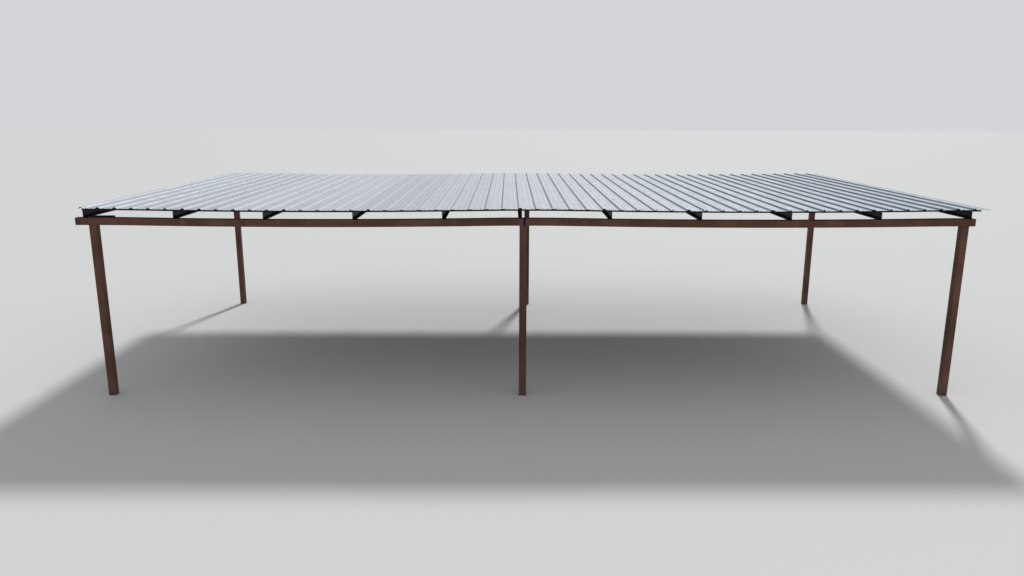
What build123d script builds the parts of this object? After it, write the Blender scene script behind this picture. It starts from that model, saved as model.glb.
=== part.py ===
from build123d import *
from math import atan, atan2, ceil, sin, sqrt, tan
import os

# An open carport with a nearly flat roof. Six square tube posts stand in two rows. Each row
# carries a beam of two lengths butted over the middle post. Purlins run front to back over
# both beams, battens cross the purlins, and ribbed steel sheets cover the battens.
#
# X runs along the front, Y from front to back and Z up. The origin is on the ground, under
# the middle of the whole outline. Places along the front are first measured from the middle
# of the roof's first rib, at its left edge, and moved by the outline's middle at the end.

# Main sizes
roof_length = 12251.0
frame_depth = 5486.0
roof_depth = 6096.0
clear_height = 2438.0

# Square tube of the posts and beams
post_side = 101.6
beam_side = 101.6
tube_wall = 4.8
tube_corner = 9.0

# How far the beams reach past the first rib, where they are butted, measured from the roof's
# middle, and how far short of the sheets they end
front_beam_reach = 113.0
front_joint_offset = -166.0
front_beam_inset = 161.0
rear_beam_reach = 30.0
rear_joint_offset = -12.0
rear_beam_inset = 152.0
beam_joint_gap = 3.0
sheet_overhang = 40.0

# Middles of the posts, measured from their beam's left end, its joint and its right end
front_left_post_inset = 226.0
front_centre_post_offset = -15.0
front_right_post_inset = 130.0
rear_left_post_inset = 202.0
rear_centre_post_offset = 4.0
rear_right_post_inset = 116.0

# The beams hang down this far in the middle of each span, and bend down to it over this run
beam_sag = 24.0
sag_easing = 400.0

# Lipped channel purlins. They open towards the roof's middle, and are set out by the outer
# faces of their webs, from the first rib and from the sheets' right end.
purlin_depth = 101.6
purlin_flange = 50.8
purlin_lip = 16.0
purlin_wall = 2.0
purlin_corner = 5.0
first_purlin_inset = 0.0
left_purlin_pitch = 1211.0
last_purlin_inset = 225.0
right_purlin_pitch = 1220.0

# Square tube battens, and how far short of the sheets they end
batten_side = 25.4
batten_wall = 1.6
batten_corner = 3.0
batten_rows = 6
batten_left_inset = 25.0
batten_right_inset = 110.0

# Ribbed sheets
rib_pitch = 227.0
ribs_per_sheet = 4
rib_height = 19.0
rib_base = 64.0
rib_top = 24.0
bead_height = 2.6
bead_base = 22.0
bead_top = 8.0
beads_per_pan = 2
sheet_thickness = 1.0
lap_clearance = 0.3

# Clearance under a piece that lies across the sagging beams or purlins
seat = 0.2

# Places along the front
front_beam_start = -front_beam_reach
front_joint = roof_length / 2 + front_joint_offset
front_beam_end = roof_length - front_beam_inset
rear_beam_start = -rear_beam_reach
rear_joint = roof_length / 2 + rear_joint_offset
rear_beam_end = roof_length - rear_beam_inset
front_posts = {
    "left": front_beam_start + front_left_post_inset,
    "centre": front_joint + front_centre_post_offset,
    "right": front_beam_end - front_right_post_inset,
}
rear_posts = {
    "left": rear_beam_start + rear_left_post_inset,
    "centre": rear_joint + rear_centre_post_offset,
    "right": rear_beam_end - rear_right_post_inset,
}
roof_start = -rib_base / 2
outline_left = min(front_beam_start, rear_beam_start, roof_start)
outline_right = max(front_beam_end, rear_beam_end, roof_length)
middle = (outline_left + outline_right) / 2

# Places from front to back. The battens lie in a field under the whole roof. The purlins
# reach under all of it, and over the rear beam in any case.
front_edge = -roof_depth / 2
front_face = front_edge + sheet_overhang
front_line = front_face + beam_side / 2
rear_line = front_face + frame_depth - beam_side / 2
batten_field = roof_depth - 2 * sheet_overhang
batten_step = (batten_field - batten_side) / (batten_rows - 1)
purlin_length = max(batten_field, frame_depth)

# Levels over the posts, where the beams don't hang down
beam_top = clear_height + beam_side
purlin_foot = beam_top + seat
batten_foot = purlin_foot + purlin_depth + seat
sheet_foot = batten_foot + batten_side + seat

# The parts of a sheet's rib and the ways its side laps fit
flank_angle = atan2(rib_height, (rib_base - rib_top) / 2)
lap_rise = sheet_thickness + lap_clearance
sheet_cover = ribs_per_sheet * rib_pitch


def clear_span(left, right):
    """The stretch between two pairs of posts in which both rows' beams can hang down."""
    start = max(front_posts[left], rear_posts[left]) + post_side / 2
    end = min(front_posts[right], rear_posts[right]) - post_side / 2
    return start, end


spans = [clear_span("left", "centre"), clear_span("centre", "right")]


def sag_shape(start, end):
    """The turn of a span's end bends and the radii of the end bends and the long bend."""
    half = (end - start) / 2
    turn = 2 * atan(beam_sag / half)
    return turn, sag_easing / sin(turn), (half - sag_easing) / sin(turn)


def sag_at(x):
    """The level of the sagging beams at a place along the front, from their posts' level."""
    for start, end in spans:
        if start < x < end:
            turn, end_radius, long_radius = sag_shape(start, end)
            near = min(x - start, end - x)
            if near < sag_easing:
                return sqrt(end_radius**2 - near**2) - end_radius
            run = (end - start) / 2 - near
            return long_radius - sqrt(long_radius**2 - run**2) - beam_sag
    return 0.0


def slope_at(x):
    """The slope of the sagging beams at a place along the front."""
    step = 1.0
    return (sag_at(x + step) - sag_at(x - step)) / (2 * step)


def sagging_line(start, end, level):
    """A line along the front that is level over the posts and hangs down between them."""

    def place(x):
        return x - middle, level + sag_at(x)

    reached = start
    for span_start, span_end in spans:
        if start < span_start and span_end < end:
            Line(place(reached), place(span_start))
            bends = (span_start, span_start + sag_easing, span_end - sag_easing, span_end)
            for low, high in zip(bends, bends[1:]):
                ThreePointArc(place(low), place((low + high) / 2), place(high))
            reached = span_end
    Line(place(reached), place(end))


def square_tube(side, wall, corner):
    RectangleRounded(side, side, corner)
    RectangleRounded(side - 2 * wall, side - 2 * wall, corner - wall, mode=Mode.SUBTRACT)


def write(piece, name):
    piece.part.label = name
    export_step(piece.part, f"parts/{name}.step")


def make_post(name, x, y):
    """A post of square tube, from the lowest ground up to its beam."""
    with BuildPart() as post:
        with BuildSketch(Plane(origin=(x - middle, y, 0))):
            square_tube(post_side, tube_wall, tube_corner)
        extrude(amount=clear_height)
    write(post, name)


def make_beam(name, start, end, y):
    """One length of beam, which hangs down between its two posts."""
    with BuildPart() as beam:
        with BuildLine(Plane.XZ.offset(-y)) as route:
            sagging_line(start, end, clear_height + beam_side / 2)
        with BuildSketch(route.line ^ 0):
            square_tube(beam_side, tube_wall, tube_corner)
        sweep(path=route.line)
    write(beam, name)


def make_purlin(name, x, opening):
    """A lipped channel over both beams, turned to their slope at the place of its web."""
    foot = (x - middle, front_face, purlin_foot + sag_at(x))
    across = (opening, 0, opening * slope_at(x))
    with BuildPart() as purlin:
        with BuildSketch(Plane(origin=foot, x_dir=across, z_dir=(0, -opening, 0))):
            with BuildLine():
                FilletPolyline(
                    (purlin_flange, purlin_lip),
                    (purlin_flange, 0),
                    (0, 0),
                    (0, purlin_depth),
                    (purlin_flange, purlin_depth),
                    (purlin_flange, purlin_depth - purlin_lip),
                    radius=purlin_corner,
                )
                offset(amount=purlin_wall, side=Side.RIGHT)
            make_face()
        extrude(amount=-opening * purlin_length)
    write(purlin, name)


def make_batten(name, y):
    """A square tube that lies across all the purlins and follows their levels."""
    start = roof_start + batten_left_inset
    end = roof_length - batten_right_inset
    with BuildPart() as batten:
        with BuildLine(Plane.XZ.offset(-y)) as route:
            sagging_line(start, end, batten_foot + batten_side / 2)
        with BuildSketch(route.line ^ 0):
            square_tube(batten_side, batten_wall, batten_corner)
        sweep(path=route.line)
    write(batten, name)


def rib_outline(x, grow=0.0):
    """The underside of a rib, or of one that laps over another when it grows outwards."""
    foot = rib_base / 2 + grow / sin(flank_angle)
    head = foot - (rib_height + grow) / tan(flank_angle)
    rise = rib_height + grow
    return [(x - foot, 0), (x - head, rise), (x + head, rise), (x + foot, 0)]


def pan_outline(rib_x):
    """The underside of the stiffening beads in the flat pan to the right of a rib."""
    points = []
    for bead in range(1, beads_per_pan + 1):
        x = rib_x + bead * rib_pitch / (beads_per_pan + 1)
        points += [(x - bead_base / 2, 0), (x - bead_top / 2, bead_height)]
        points += [(x + bead_top / 2, bead_height), (x + bead_base / 2, 0)]
    return points


def sheet_outline(start, end):
    """The underside of one sheet, whose last rib laps over the next sheet's first."""
    points = rib_outline(start)
    x = start
    while x + rib_pitch < end - rib_base / 2:
        points += pan_outline(x)
        x += rib_pitch
        points += rib_outline(x)
    if end < roof_length:
        lap = rib_outline(end, lap_rise)
        edge = lap[3][0] - lap_rise / tan(flank_angle)
        return points + pan_outline(x) + lap[:3] + [(edge, lap_rise)]
    return points + [point for point in pan_outline(x) if point[0] < end - bead_base] + [(end, 0)]


def make_sheet(name, start, end):
    """One ribbed sheet, from the roof's front edge to its rear edge."""
    outline = [(x - middle, sheet_foot + sag_at(x) + rise) for x, rise in sheet_outline(start, end)]
    with BuildPart() as sheet:
        with BuildSketch(Plane.XZ.offset(-front_edge)):
            with BuildLine():
                Polyline(*outline)
                offset(amount=sheet_thickness, side=Side.LEFT, kind=Kind.INTERSECTION)
            make_face()
        extrude(amount=-roof_depth)
    write(sheet, name)


def purlin_places():
    """The purlins' places, and +1 or -1 for the way they open: those set out from the left end
    to the right, and those set out from the right end to the left."""
    places = []
    x = first_purlin_inset
    while x < (roof_length - left_purlin_pitch) / 2:
        places.append((x, 1))
        x += left_purlin_pitch
    left_group_end = places[-1][0]
    x = roof_length - last_purlin_inset
    while x > left_group_end + right_purlin_pitch / 2:
        places.append((x, -1))
        x -= right_purlin_pitch
    return sorted(places)


os.makedirs("parts", exist_ok=True)

for side in ("left", "centre", "right"):
    make_post(f"front_{side}_post", front_posts[side], front_line)
    make_post(f"rear_{side}_post", rear_posts[side], rear_line)

half_gap = beam_joint_gap / 2
make_beam("front_beam_left", front_beam_start, front_joint - half_gap, front_line)
make_beam("front_beam_right", front_joint + half_gap, front_beam_end, front_line)
make_beam("rear_beam_left", rear_beam_start, rear_joint - half_gap, rear_line)
make_beam("rear_beam_right", rear_joint + half_gap, rear_beam_end, rear_line)

for number, (x, opening) in enumerate(purlin_places(), start=1):
    make_purlin(f"purlin_{number:02d}", x, opening)

for row in range(batten_rows):
    make_batten(f"batten_{row + 1}", front_face + batten_side / 2 + row * batten_step)

for number in range(ceil((roof_length - rib_base) / sheet_cover)):
    start = number * sheet_cover
    make_sheet(f"roof_sheet_{number + 1:02d}", start, min(start + sheet_cover, roof_length))
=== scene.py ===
# %% [markdown]
# # An open carport with a ribbed steel roof
#
# Six square posts, two rows of beams, eleven channel purlins, six thin battens and fourteen
# lapped sheets come from the CAD model. This lesson gives them their finishes and adds what
# a fitter adds on site: weld beads, roof screws and a tube offcut left on a beam. The CAD
# pieces keep their places and meshes, so every new piece is placed by measuring them.

import random
from math import pi

import bmesh
import bpy
from mathutils import Matrix, Vector
from mathutils.bvhtree import BVHTree


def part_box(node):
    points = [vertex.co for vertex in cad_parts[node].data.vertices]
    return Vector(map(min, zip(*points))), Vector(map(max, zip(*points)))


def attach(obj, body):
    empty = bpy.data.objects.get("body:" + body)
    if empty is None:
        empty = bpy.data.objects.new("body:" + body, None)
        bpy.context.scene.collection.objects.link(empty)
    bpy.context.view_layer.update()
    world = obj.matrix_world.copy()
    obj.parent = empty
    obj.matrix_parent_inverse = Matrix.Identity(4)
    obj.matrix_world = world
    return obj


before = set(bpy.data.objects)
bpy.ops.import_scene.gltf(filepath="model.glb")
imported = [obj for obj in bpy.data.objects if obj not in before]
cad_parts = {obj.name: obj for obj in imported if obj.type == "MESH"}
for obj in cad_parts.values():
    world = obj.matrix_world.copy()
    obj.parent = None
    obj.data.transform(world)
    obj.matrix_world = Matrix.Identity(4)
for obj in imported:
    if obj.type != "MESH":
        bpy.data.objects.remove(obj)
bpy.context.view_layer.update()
posts = sorted(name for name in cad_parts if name.endswith("_post"))
beams = sorted(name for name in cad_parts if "_beam_" in name)
purlins = sorted(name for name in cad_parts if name.startswith("purlin_"))
battens = sorted(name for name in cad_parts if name.startswith("batten_"))
sheets = sorted(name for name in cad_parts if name.startswith("roof_sheet_"))
print("posts", len(posts), "beams", len(beams), "purlins", len(purlins), "battens", len(battens))

# %% [markdown]
# ## The camera
#
# The picture was taken from a little above the roof, so that its top shows as a thin, pale
# wedge. A camera can be placed by eye, or worked out from points whose real places are
# known. Here it is worked out, from the rib ends, the posts and the horizon. The focal
# length is in pixels of a picture 1024 wide, and the sensor width turns it into millimetres.

# %% Place the camera
picture_width = 1024
focal_pixels = 776.8
camera_place = Vector((-0.321, -13.465, 3.959))
camera_pitch = 0.2243
camera_yaw = -0.0043
camera_roll = 0.0022

camera_data = bpy.data.cameras.new("camera")
camera_data.sensor_width = 36.0
camera_data.lens = focal_pixels / picture_width * camera_data.sensor_width
camera = bpy.data.objects.new("camera", camera_data)
camera.matrix_world = (
    Matrix.Translation(camera_place)
    @ Matrix.Rotation(camera_yaw, 4, "Z")
    @ Matrix.Rotation(pi / 2 - camera_pitch, 4, "X")
    @ Matrix.Rotation(camera_roll, 4, "Z")
)
bpy.context.scene.collection.objects.link(camera)
bpy.context.scene.camera = camera
bpy.context.scene.view_settings.view_transform = "Standard"
print("lens", round(camera_data.lens, 2), "mm")

# %% [markdown]
# ## Light and floor
#
# Outdoors the light comes from behind the roof and a little from the right, a bit lower
# than halfway up the sky. The shadow of the roof falls towards the camera, and the left side
# of each rib is the darker one for that reason. A sun lamp stands in for that, and the world
# fills the shadows. What the camera sees of the world is set apart from its light, so that
# the backdrop is as pale as the floor.

# %% Light the scene
key_direction = Vector((0.30, 1.08, 1.0))
key_energy = 2.15
key_angle = 0.12
world_tint = (0.80, 0.82, 0.84, 1)
world_light = 0.55
backdrop_brightness = 0.82

key = bpy.data.lights.new("key", "SUN")
key.energy = key_energy
key.angle = key_angle
key_lamp = bpy.data.objects.new("key", key)
key_lamp.rotation_euler = key_direction.to_track_quat("Z", "Y").to_euler()
bpy.context.scene.collection.objects.link(key_lamp)

world = bpy.data.worlds.new("studio")
world.use_nodes = True
bpy.context.scene.world = world
backdrop = world.node_tree.nodes["Background"]
backdrop.inputs["Color"].default_value = world_tint
light_path = world.node_tree.nodes.new("ShaderNodeLightPath")
brightness = world.node_tree.nodes.new("ShaderNodeMapRange")
brightness.inputs["To Min"].default_value = world_light
brightness.inputs["To Max"].default_value = backdrop_brightness
world.node_tree.links.new(light_path.outputs["Is Camera Ray"], brightness.inputs["Value"])
world.node_tree.links.new(brightness.outputs[0], backdrop.inputs["Strength"])
print("key", key.energy, "world", world_light, "backdrop", backdrop_brightness)

# %% [markdown]
# The floor is a plain pale plane that reaches past the view, and keeps the shadow. It is
# stage, not part of the object.

# %% Lay the floor
floor_reach = 150
floor_tint = (0.72, 0.72, 0.71, 1)
floor_roughness = 0.9

floor_mesh = bmesh.new()
bmesh.ops.create_grid(floor_mesh, x_segments=1, y_segments=1, size=floor_reach)
floor_data = bpy.data.meshes.new("floor")
floor_mesh.to_mesh(floor_data)
floor_mesh.free()
floor = bpy.data.objects.new("floor", floor_data)
bpy.context.scene.collection.objects.link(floor)
floor_finish = bpy.data.materials.new("floor")
floor_finish.use_nodes = True
floor_shader = floor_finish.node_tree.nodes["Principled BSDF"]
floor_shader.inputs["Base Color"].default_value = floor_tint
floor_shader.inputs["Roughness"].default_value = floor_roughness
floor_data.materials.append(floor_finish)
print("floor", floor.name)

# %% [markdown]
# ## Small helpers for materials
#
# Each finish is a tree of nodes over the object's own coordinates, in metres. Every piece
# sits at the origin, so one tree runs on over all the pieces that share it, and no two
# pieces repeat each other. The helpers keep the trees short: one adds a node and joins
# its sockets, the others are the noises, ramps and mixes that every finish needs.

# %% Helpers for node trees
def linear(channel):
    """One channel of a colour as a picture shows it, from 0 to 255, turned into light."""
    share = channel / 255
    return ((share + 0.055) / 1.055) ** 2.4 if channel > 10 else share / 12.92


def colour(red, green, blue):
    return linear(red), linear(green), linear(blue), 1.0


class Finish:
    """A material, and the nodes that it is mixed from."""

    def __init__(self, name):
        self.material = bpy.data.materials.new(name)
        self.material.use_nodes = True
        self.tree = self.material.node_tree
        self.shader = self.tree.nodes["Principled BSDF"]
        self.place = self.tree.nodes.new("ShaderNodeTexCoord").outputs["Object"]
        self.x, self.y, self.z = self.add("ShaderNodeSeparateXYZ", Vector=self.place).outputs

    def join(self, socket, value):
        """Sets a socket to a plain value, or links it to another node's output."""
        if isinstance(value, bpy.types.NodeSocket):
            self.tree.links.new(value, socket)
        else:
            socket.default_value = value

    def add(self, kind, **sockets):
        made = self.tree.nodes.new(kind)
        for name, value in sockets.items():
            self.join(made.inputs[name.replace("_", " ")], value)
        return made

    def noise(self, scale, detail=4.0, roughness=0.5):
        """A noise. Its scale is one number, or one each along X, Y and Z."""
        place = self.place
        if isinstance(scale, tuple):
            place = self.add("ShaderNodeMapping", Vector=place, Scale=scale).outputs[0]
            scale = 1.0
        return self.add(
            "ShaderNodeTexNoise", Vector=place, Scale=scale, Detail=detail, Roughness=roughness
        ).outputs[0]

    def arithmetic(self, operation, *values):
        made = self.tree.nodes.new("ShaderNodeMath")
        made.operation = operation
        for socket, value in zip(made.inputs, values):
            self.join(socket, value)
        return made.outputs[0]

    def times(self, first, second):
        return self.arithmetic("MULTIPLY", first, second)

    def ramp(self, value, low, high, bottom=0.0, top=1.0):
        """Bottom below low, top above high, and a smooth change between."""
        made = self.add(
            "ShaderNodeMapRange",
            Value=value, From_Min=low, From_Max=high, To_Min=bottom, To_Max=top,
        )
        made.interpolation_type = "SMOOTHSTEP"
        return made.outputs[0]

    def mix(self, share, first, second):
        """First where share is 0, second where it is 1."""
        made = self.tree.nodes.new("ShaderNodeMix")
        made.data_type = "RGBA"
        for index, value in ((0, share), (6, first), (7, second)):
            self.join(made.inputs[index], value)
        return made.outputs[2]

    def facing_up(self):
        """How far a face looks up, from -1 to 1, by the geometry's own normal."""
        normal = self.tree.nodes.new("ShaderNodeNewGeometry").outputs["Normal"]
        return self.add("ShaderNodeSeparateXYZ", Vector=normal).outputs[2]

    def complete(self, tint, roughness, height, strength, distance):
        """Gives the shader its colour, its roughness and a bump of this height."""
        bump = self.add("ShaderNodeBump", Height=height, Strength=strength, Distance=distance)
        self.join(self.shader.inputs["Base Color"], tint)
        self.join(self.shader.inputs["Roughness"], roughness)
        self.join(self.shader.inputs["Normal"], bump.outputs[0])

    def dress(self, names):
        """Puts the finish on CAD pieces."""
        for name in names:
            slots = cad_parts[name].data.materials
            slots.clear()
            slots.append(self.material)
        print(self.material.name, "on", len(names), "pieces")


print("helpers ready")

# %% [markdown]
# ## The brown primer of the posts and beams
#
# The real frame is square tube in a flat red-brown primer that sun and rain have chalked.
# It is lighter in cloudy patches, has thin runs down the posts, rust that starts at pin
# holes, and a dusty splash zone at the feet. One flat brown would look like plastic, so
# the paint is mixed from noises of different sizes, and they also change the gloss and the
# bump.

# %% Mix the primer
primer = Finish("brown_primer")
clouds = primer.noise(1.7, 5.0, 0.6)
patches = primer.noise((7, 7, 3), 6.0, 0.62)
runs = primer.noise((38, 38, 2.2), 4.0, 0.55)
specks = primer.noise(210.0, 3.0, 0.6)
paint = primer.mix(primer.ramp(clouds, 0.36, 0.66), colour(92, 61, 49), colour(110, 76, 62))
paint = primer.mix(primer.ramp(patches, 0.54, 0.72, 0.0, 0.65), paint, colour(132, 100, 84))
paint = primer.mix(primer.ramp(runs, 0.56, 0.74, 0.0, 0.55), paint, colour(70, 45, 37))
rust = primer.ramp(primer.times(patches, specks), 0.32, 0.40, 0.0, 0.8)
paint = primer.mix(rust, paint, colour(128, 66, 38))
print("primer mixed")

# %% [markdown]
# The beams were welded end to end over the middle posts, where the heat has burnt the primer
# black in a narrow band, and left a purple cast around it. The last few centimetres of the
# front beam's left end are greenish, and dust has splashed on the feet. All these places are
# measured from the CAD pieces, in metres.

# %% Mark the joints, the ends and the feet
joints = {
    row: (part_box(f"{row}_beam_left")[1].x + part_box(f"{row}_beam_right")[0].x) / 2
    for row in ("front", "rear")
}
beam_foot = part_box("front_left_post")[1].z
left_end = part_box("front_beam_left")[0].x
burnt_reach = (0.014, 0.021)
cast_reach = (0.04, 0.13)
green_reach = (0.03, 0.08)
splash_reach = (-0.22, 0.12)

on_beam = primer.ramp(primer.z, beam_foot - 0.004, beam_foot + 0.002)
joint_place = primer.ramp(primer.y, -0.1, 0.1, joints["front"], joints["rear"])
from_joint = primer.arithmetic("ABSOLUTE", primer.arithmetic("SUBTRACT", primer.x, joint_place))
from_joint = primer.arithmetic("ADD", from_joint, primer.times(patches, 0.006))
cast = primer.times(primer.ramp(from_joint, *cast_reach, 0.7, 0.0), on_beam)
paint = primer.mix(cast, paint, colour(102, 74, 84))
burnt = primer.times(primer.ramp(from_joint, *burnt_reach, 1.0, 0.0), on_beam)
paint = primer.mix(burnt, paint, colour(9, 6, 7))
from_end = primer.arithmetic("SUBTRACT", primer.x, left_end)
paint = primer.mix(primer.ramp(from_end, *green_reach, 0.7, 0.0), paint, colour(58, 60, 44))
splash = primer.arithmetic("ADD", primer.z, primer.times(clouds, -0.5))
paint = primer.mix(primer.ramp(splash, *splash_reach, 0.32, 0.0), paint, colour(112, 94, 80))

orange_peel = primer.arithmetic("ADD", primer.times(primer.noise(420.0), 0.35), patches)
primer.shader.inputs["Specular IOR Level"].default_value = 0.25
primer.complete(paint, primer.ramp(patches, 0.3, 0.8, 0.55, 0.8), orange_peel, 0.35, 0.002)
primer.dress(posts + beams)

# %% [markdown]
# ## The black primer of the purlins and battens
#
# The channels and the battens came from the mill in a thin near-black coat. Seen from the
# front they are almost black, with a cold purple cast, and dust has settled on what faces
# up. The way a face points comes from the geometry's own normal, which stays with the
# surface in every view.

# %% Make the mill coat
mill_coat = Finish("black_mill_coat")
clouds = mill_coat.noise(2.3, 5.0, 0.6)
scuffs = mill_coat.noise((60, 9, 60), 5.0, 0.6)
coat = mill_coat.mix(mill_coat.ramp(clouds, 0.35, 0.68), colour(14, 13, 16), colour(27, 24, 28))
coat = mill_coat.mix(mill_coat.ramp(scuffs, 0.60, 0.74, 0.0, 0.4), coat, colour(56, 50, 52))
rust = mill_coat.ramp(mill_coat.noise(34.0, 6.0, 0.7), 0.62, 0.72, 0.0, 0.55)
coat = mill_coat.mix(rust, coat, colour(84, 46, 32))
upward = mill_coat.ramp(mill_coat.facing_up(), 0.6, 1.0)
dust = mill_coat.times(upward, mill_coat.ramp(clouds, 0.3, 0.7, 0.0, 0.25))
coat = mill_coat.mix(dust, coat, colour(96, 88, 78))
mill_coat.shader.inputs["Specular IOR Level"].default_value = 0.2
mill_coat.complete(coat, mill_coat.ramp(scuffs, 0.3, 0.8, 0.42, 0.68), scuffs, 0.25, 0.001)
mill_coat.dress(purlins + battens)

# %% [markdown]
# ## The bare coated steel of the roof
#
# The sheets are bare steel with an aluminium and zinc coat: pale blue-grey, dull after some
# years, with a fine spangle and faint streaks down the pans where rain runs. Each sheet has
# its own tone, because sheets come from different coils. A sheet's number is worked out
# from its place along the roof, so one material serves all fourteen. The number changes at
# the foot of the lap over a sheet's first rib.

# %% Mix the roof steel
ribs_per_sheet = 4
rib_foot = 0.032
lap_foot = 0.034
sheet_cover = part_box(sheets[1])[0].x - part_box(sheets[0])[0].x
rib_pitch = sheet_cover / ribs_per_sheet
first_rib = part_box(sheets[0])[0].x + rib_foot
first_lap = first_rib + lap_foot

roof_steel = Finish("roof_steel")
from_lap = roof_steel.arithmetic("SUBTRACT", roof_steel.x, first_lap)
count = roof_steel.arithmetic("DIVIDE", from_lap, sheet_cover)
coil = roof_steel.tree.nodes.new("ShaderNodeTexWhiteNoise")
coil.noise_dimensions = "1D"
roof_steel.join(coil.inputs["W"], roof_steel.arithmetic("FLOOR", count))
spangle = roof_steel.add("ShaderNodeTexVoronoi", Vector=roof_steel.place, Scale=95.0)
spangle = spangle.outputs["Distance"]
streaks = roof_steel.noise((46, 1.1, 30), 5.0, 0.6)
blotches = roof_steel.noise(1.3, 5.0, 0.6)
grime = roof_steel.noise((9, 5, 9), 7.0, 0.68)
steel = roof_steel.mix(coil.outputs["Value"], colour(172, 177, 184), colour(184, 189, 195))
for share, tint in (
    (roof_steel.ramp(streaks, 0.50, 0.74, 0.0, 0.45), colour(150, 156, 164)),
    (roof_steel.ramp(blotches, 0.52, 0.72, 0.0, 0.35), colour(166, 167, 166)),
    (roof_steel.ramp(spangle, 0.1, 0.7, 0.0, 0.16), colour(212, 218, 226)),
    (roof_steel.ramp(grime, 0.60, 0.76, 0.0, 0.4), colour(150, 140, 126)),
):
    steel = roof_steel.mix(share, steel, tint)
print("steel for", len(sheets), "sheets, each covering", round(sheet_cover, 4), "m")

# %% [markdown]
# The distance from the nearest rib is worked out in the same way as a sheet's number. The
# ribs' left flanks are painted a dark blue-grey, as painted shade for flanks that face away
# from the light. There is more of it towards the right end of the roof, where all the sheets
# are darkened with painted shade too. The ribs' right flanks are painted pale, as painted
# light. The back of a sheet is a grey backing coat, made dark as painted shade under the
# roof, which the way a face points picks out.

# %% Paint shade and light on the ribs
flank_head = (0.009, 0.015)
left_foot = (0.030, 0.044)
right_foot = (0.030, 0.046)

from_rib = roof_steel.arithmetic("SUBTRACT", roof_steel.x, first_rib)
ribs = roof_steel.arithmetic("ADD", roof_steel.arithmetic("DIVIDE", from_rib, rib_pitch), 0.5)
past_rib = roof_steel.arithmetic("SUBTRACT", roof_steel.arithmetic("FRACT", ribs), 0.5)
past_rib = roof_steel.times(past_rib, rib_pitch)
before_rib = roof_steel.times(past_rib, -1.0)
left_flank = roof_steel.times(
    roof_steel.ramp(before_rib, *flank_head), roof_steel.ramp(before_rib, *left_foot, 1.0, 0.0)
)
right_flank = roof_steel.times(
    roof_steel.ramp(past_rib, *flank_head), roof_steel.ramp(past_rib, *right_foot, 1.0, 0.0)
)
uneven = roof_steel.ramp(streaks, 0.25, 0.65, 0.7, 1.0)
# Painted shade: the left flanks' shade grows towards the right end of the roof.
painted_shade_gain_rightward = roof_steel.ramp(roof_steel.x, 0.0, 5.0, 0.32, 0.95)
# Painted shade: the whole roof turns darker and bluer towards its right end.
painted_roof_shade_rightward = roof_steel.ramp(roof_steel.x, 0.5, 6.0, 0.0, 0.36)
# Painted shade: a dark blue-grey on the ribs' left flanks, which face away from the light.
painted_left_flank_shade = roof_steel.times(left_flank, roof_steel.times(uneven, painted_shade_gain_rightward))
# Painted light: a paler colour on the ribs' right flanks, which face the light.
painted_right_flank_light = roof_steel.times(right_flank, roof_steel.times(uneven, 0.55))
# A grey backing coat on the sheets' undersides, made dark as painted shade under the roof.
backing_and_painted_shade = roof_steel.ramp(roof_steel.facing_up(), -0.2, 0.1, 0.85, 0.0)
for share, tint in (
    (painted_roof_shade_rightward, colour(128, 152, 164)),
    (painted_left_flank_shade, colour(62, 86, 98)),
    (painted_right_flank_light, colour(208, 213, 220)),
    (backing_and_painted_shade, colour(74, 76, 79)),
):
    steel = roof_steel.mix(share, steel, tint)

waves = roof_steel.noise((5, 1.6, 5), 2.0)
ripple = roof_steel.arithmetic("ADD", waves, roof_steel.times(spangle, 0.02))
roof_steel.shader.inputs["Metallic"].default_value = 0.2
roof_steel.shader.inputs["Specular IOR Level"].default_value = 0.3
roof_steel.complete(steel, roof_steel.ramp(grime, 0.3, 0.75, 0.58, 0.78), ripple, 0.22, 0.012)
roof_steel.dress(sheets)

# %% [markdown]
# ## Weld beads
#
# Everything here is welded. A bead is a row of frozen ripples, a few millimetres thick,
# in the corner between two pieces. It could be a bevelled curve, but a curve has an even
# skin. Here a small ring is drawn along the corner in steps, and at each step it is made a
# little fatter or thinner, which gives the ripples. Both ends are drawn in and closed.

# %% Draw a bead along a corner
chance = random.Random(11)
bead_sides = 6
bead_step = 1.4
fat_ripple, thin_ripple, bead_end = (0.92, 1.12), (0.74, 0.86), 0.45


def ring_edges(ring):
    edges = {edge for vert in ring for edge in vert.link_edges if edge.other_vert(vert) in ring}
    return list(edges)


def weld_bead(bead_mesh, start, end, radius):
    """A rippled bead from start to end."""
    start, run = Vector(start), Vector(end) - Vector(start)
    steps = max(4, round(run.length / (bead_step * radius)))
    turn = run.to_track_quat("Z", "Y").to_matrix().to_4x4()
    ring = bmesh.ops.create_circle(
        bead_mesh, segments=bead_sides, radius=bead_end * radius,
        matrix=Matrix.Translation(start) @ turn,
    )["verts"]
    bmesh.ops.contextual_create(bead_mesh, geom=ring_edges(ring))
    for step in range(1, steps + 1):
        grown = bmesh.ops.extrude_edge_only(bead_mesh, edges=ring_edges(ring))["geom"]
        ring = [item for item in grown if isinstance(item, bmesh.types.BMVert)]
        bmesh.ops.translate(bead_mesh, vec=run / steps, verts=ring)
        centre = start + run * (step / steps)
        ripple = chance.uniform(*(fat_ripple if step % 2 else thin_ripple))
        wanted = radius * (bead_end if step == steps else ripple)
        growth = wanted / (ring[0].co - centre).length
        bmesh.ops.scale(
            bead_mesh, vec=(growth, growth, growth), space=Matrix.Translation(-centre), verts=ring
        )
    bmesh.ops.contextual_create(bead_mesh, geom=ring_edges(ring))


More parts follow.
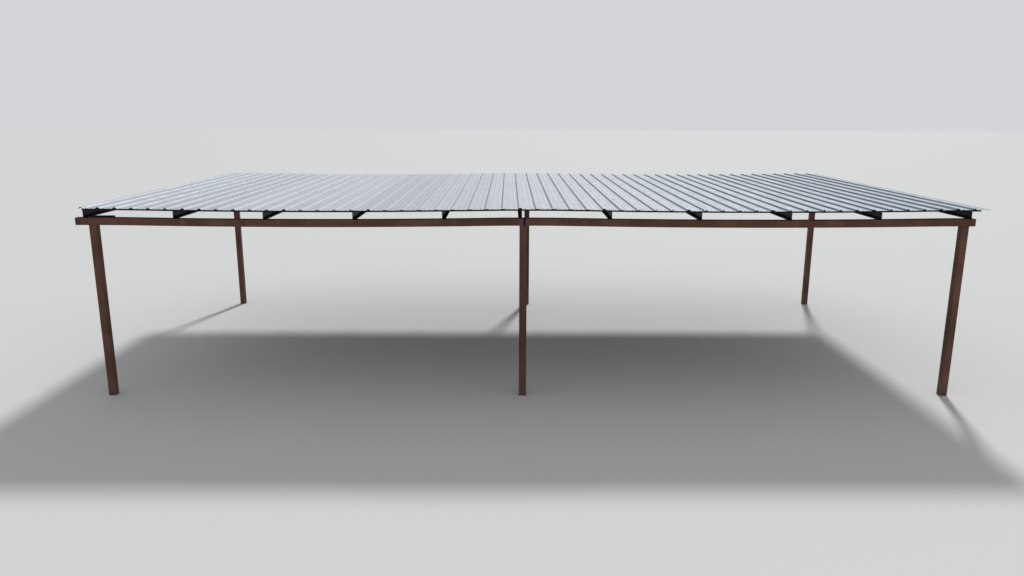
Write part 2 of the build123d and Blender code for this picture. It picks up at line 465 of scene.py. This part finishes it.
def finish_piece(name, made_mesh, finish):
    """Turns a bmesh into an object of the carport, with its faces outwards."""
    bmesh.ops.recalc_face_normals(made_mesh, faces=made_mesh.faces)
    data = bpy.data.meshes.new(name)
    made_mesh.to_mesh(data)
    made_mesh.free()
    data.materials.append(finish.material)
    piece = bpy.data.objects.new(name, data)
    bpy.context.scene.collection.objects.link(piece)
    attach(piece, "root")
    print(name, len(data.polygons), "faces")


print("bead helper ready")

# %% [markdown]
# ### Where the beads go
#
# A post is welded to its beam on all four sides, and two beams meet in a bead on three
# sides. All these corners are read from the boxes of the CAD pieces. A bead lies a little
# inside its corner, as real ones do, and stops short of the tube's rounded edges.

# %% Weld the posts to the beams
tube_edge = 0.011
post_bead, post_sink = 0.0042, 0.0015

bead_mesh = bmesh.new()
for name in posts:
    low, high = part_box(name)
    level = high.z - post_sink
    for y in (low.y, high.y):
        weld_bead(
            bead_mesh, (low.x + tube_edge, y, level), (high.x - tube_edge, y, level), post_bead
        )
    for x in (low.x, high.x):
        weld_bead(
            bead_mesh, (x, low.y + tube_edge, level), (x, high.y - tube_edge, level), post_bead
        )
finish_piece("post_welds", bead_mesh, primer)

# %% Weld the beams end to end
joint_bead = 0.0060

bead_mesh = bmesh.new()
for row, x in joints.items():
    low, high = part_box(f"{row}_beam_left")
    top = beam_foot + (high.y - low.y)
    weld_bead(bead_mesh, (x, low.y + tube_edge, top), (x, high.y - tube_edge, top), joint_bead)
    for y in (low.y, high.y):
        weld_bead(
            bead_mesh, (x, y, beam_foot + tube_edge), (x, y, top - tube_edge), joint_bead
        )
finish_piece("beam_welds", bead_mesh, primer)

# %% [markdown]
# A purlin is welded to each beam along its web and along the edge of its foot. A batten gets
# a short tack on each side where it crosses a purlin, wherever the purlin reaches that far.

# %% Weld the purlins to the beams
purlin_bead, purlin_lift = 0.0036, 0.0020
bead_shift = 0.0005

bead_mesh = bmesh.new()
for name in purlins:
    low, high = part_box(name)
    level = low.z + purlin_lift
    for row in joints:
        beam_low, beam_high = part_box(f"{row}_beam_left")
        near, far = beam_low.y + tube_edge, beam_high.y - tube_edge
        for x in (low.x - bead_shift, high.x + bead_shift):
            weld_bead(bead_mesh, (x, near, level), (x, far, level), purlin_bead)
finish_piece("purlin_welds", bead_mesh, mill_coat)

# %% Tack the battens to the purlins
tack_bead, tack_lift = 0.0028, 0.0015
tack_inset = 0.012
purlin_margin = 0.003

bead_mesh = bmesh.new()
for name in purlins:
    low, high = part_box(name)
    left, right, level = low.x + tack_inset, high.x - tack_inset, high.z + tack_lift
    for batten in battens:
        batten_low, batten_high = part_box(batten)
        for y in (batten_low.y - bead_shift, batten_high.y + bead_shift):
            if low.y + purlin_margin < y < high.y - purlin_margin:
                weld_bead(bead_mesh, (left, y, level), (right, y, level), tack_bead)
finish_piece("batten_tacks", bead_mesh, mill_coat)

# %% [markdown]
# ## Roof screws
#
# Each sheet is held by hex-headed screws with a washer, one beside every rib, in a row over
# each batten. One screw is modelled with a few dozen faces: a washer disc, pulled up and
# drawn in to a low dome, and a six-sided head with a softened rim.

# %% Model one screw
washer_radius, washer_height = 0.0080, 0.0012
dome_height, dome_top = 0.0010, 0.72
head_radius, head_foot, head_height = 0.0047, 0.0021, 0.0036
rim_height, rim_top = 0.0007, 0.80


def disc(screw_mesh, sides, radius, level):
    """A flat disc, as a list of its one face."""
    made = bmesh.ops.create_circle(
        screw_mesh, cap_ends=True, segments=sides, radius=radius,
        matrix=Matrix.Translation((0, 0, level)),
    )
    return list({face for vert in made["verts"] for face in vert.link_faces})


def extrude_up(screw_mesh, faces, height, draw_in):
    """Pulls faces up by height and draws them in, and returns the new top faces."""
    grown = bmesh.ops.extrude_face_region(screw_mesh, geom=faces)["geom"]
    top = [item for item in grown if isinstance(item, bmesh.types.BMFace)]
    verts = list({vert for face in top for vert in face.verts})
    bmesh.ops.translate(screw_mesh, vec=(0, 0, height), verts=verts)
    bmesh.ops.scale(screw_mesh, vec=(draw_in, draw_in, 1), verts=verts)
    bmesh.ops.delete(screw_mesh, geom=faces, context="FACES_ONLY")
    return top


screw_mesh = bmesh.new()
washer = disc(screw_mesh, 12, washer_radius, 0)
washer = extrude_up(screw_mesh, washer, washer_height, 1.0)
extrude_up(screw_mesh, washer, dome_height, dome_top)
head = disc(screw_mesh, 6, head_radius, head_foot)
head = extrude_up(screw_mesh, head, head_height, 1.0)
extrude_up(screw_mesh, head, rim_height, rim_top)
bmesh.ops.recalc_face_normals(screw_mesh, faces=screw_mesh.faces)
screw_data = bpy.data.meshes.new("one_screw")
screw_mesh.to_mesh(screw_data)
screw_mesh.free()
print("one screw has", len(screw_data.polygons), "faces")

# %% [markdown]
# ### The screws' own finish
#
# Screws are zinc plated. Most are dull grey, and some have begun to rust, which a noise
# with spots larger than a screw decides, so that a whole screw is rusty or clean.

# %% Make the zinc
zinc = Finish("screw_zinc")
spots = zinc.noise(9.0, 3.0, 0.6)
grain = zinc.noise(900.0, 3.0, 0.6)
plate = zinc.mix(grain, colour(150, 154, 158), colour(188, 192, 196))
plate = zinc.mix(zinc.ramp(spots, 0.56, 0.66, 0.0, 0.8), plate, colour(120, 76, 52))
zinc.shader.inputs["Metallic"].default_value = 0.6
zinc.complete(plate, zinc.ramp(spots, 0.4, 0.7, 0.38, 0.75), grain, 0.3, 0.0003)
print("zinc ready")

# %% [markdown]
# ### A screw beside every rib
#
# Copies of the screw are joined into one mesh. Each copy is dropped onto the uppermost sheet
# below it with a ray, which also gives the way the sheet faces. Each is a few millimetres off
# its row and turned as it happened to stop, as on a real roof.

# %% Drop the screws
beside_rib = 0.048
drop_height = 4
off_row = 0.005
end_margin = 0.01

tops = []
for name in sheets:
    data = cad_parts[name].data
    corners, faces = [v.co for v in data.vertices], [p.vertices for p in data.polygons]
    tops.append(BVHTree.FromPolygons(corners, faces))

screws = bmesh.new()
roof_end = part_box(sheets[-1])[1].x
for batten in battens:
    batten_low, batten_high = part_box(batten)
    y = (batten_low.y + batten_high.y) / 2
    rib = 0
    while first_rib + rib * rib_pitch + beside_rib < roof_end - end_margin:
        x = first_rib + rib * rib_pitch + beside_rib
        above = Vector((x, y + chance.uniform(-off_row, off_row), drop_height))
        hits = [hit for hit in (top.ray_cast(above, (0, 0, -1)) for top in tops) if hit[0]]
        spot, facing = max(((hit[0], hit[1]) for hit in hits), key=lambda found: found[0].z)
        known = len(screws.verts)
        screws.from_mesh(screw_data)
        screws.verts.ensure_lookup_table()
        tilt = facing.to_track_quat("Z", "Y").to_matrix().to_4x4()
        turn = tilt @ Matrix.Rotation(chance.uniform(0, 6), 4, "Z")
        bmesh.ops.transform(
            screws, matrix=Matrix.Translation(spot) @ turn, verts=screws.verts[known:]
        )
        rib += 1
finish_piece("roof_screws", screws, zinc)

# %% [markdown]
# ## An offcut on the beam
#
# A dark, thin strip lies on the front beam, from the first purlin to the right. It is as
# high as a batten, so it is made as a piece of the same tube that the fitters left there. A
# cube is stretched, its edges are softened, its ends are opened, and its skin gets a wall.

# %% Lay the offcut
offcut_length, offcut_side, offcut_wall = 0.352, 0.0254, 0.0016
offcut_corner = 0.003
offcut_gap, offcut_inset, offcut_turn = 0.003, 0.045, 0.03
purlin_low, purlin_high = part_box(purlins[0])
beam_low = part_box("front_beam_left")[0]

offcut_mesh = bmesh.new()
offcut_verts = bmesh.ops.create_cube(offcut_mesh, size=1.0)["verts"]
bmesh.ops.scale(offcut_mesh, vec=(offcut_length, offcut_side, offcut_side), verts=offcut_verts)
long_edges = [edge for edge in offcut_mesh.edges if edge.calc_length() > 2 * offcut_side]
bmesh.ops.bevel(
    offcut_mesh, geom=long_edges, offset=offcut_corner, offset_type="OFFSET", segments=3,
    profile=0.5, affect="EDGES", material=-1, clamp_overlap=True,
)
ends = [face for face in offcut_mesh.faces if abs(face.normal.x) > 0.9]
bmesh.ops.delete(offcut_mesh, geom=ends, context="FACES_ONLY")
bmesh.ops.solidify(offcut_mesh, geom=offcut_mesh.faces[:], thickness=offcut_wall)
offcut_place = Vector((
    purlin_high.x + offcut_gap + offcut_length / 2,
    beam_low.y + offcut_inset,
    purlin_low.z + offcut_side / 2,
))
bmesh.ops.rotate(
    offcut_mesh, matrix=Matrix.Rotation(offcut_turn, 3, "Z"), verts=offcut_mesh.verts
)
bmesh.ops.translate(offcut_mesh, vec=offcut_place, verts=offcut_mesh.verts)
finish_piece("batten_offcut", offcut_mesh, mill_coat)
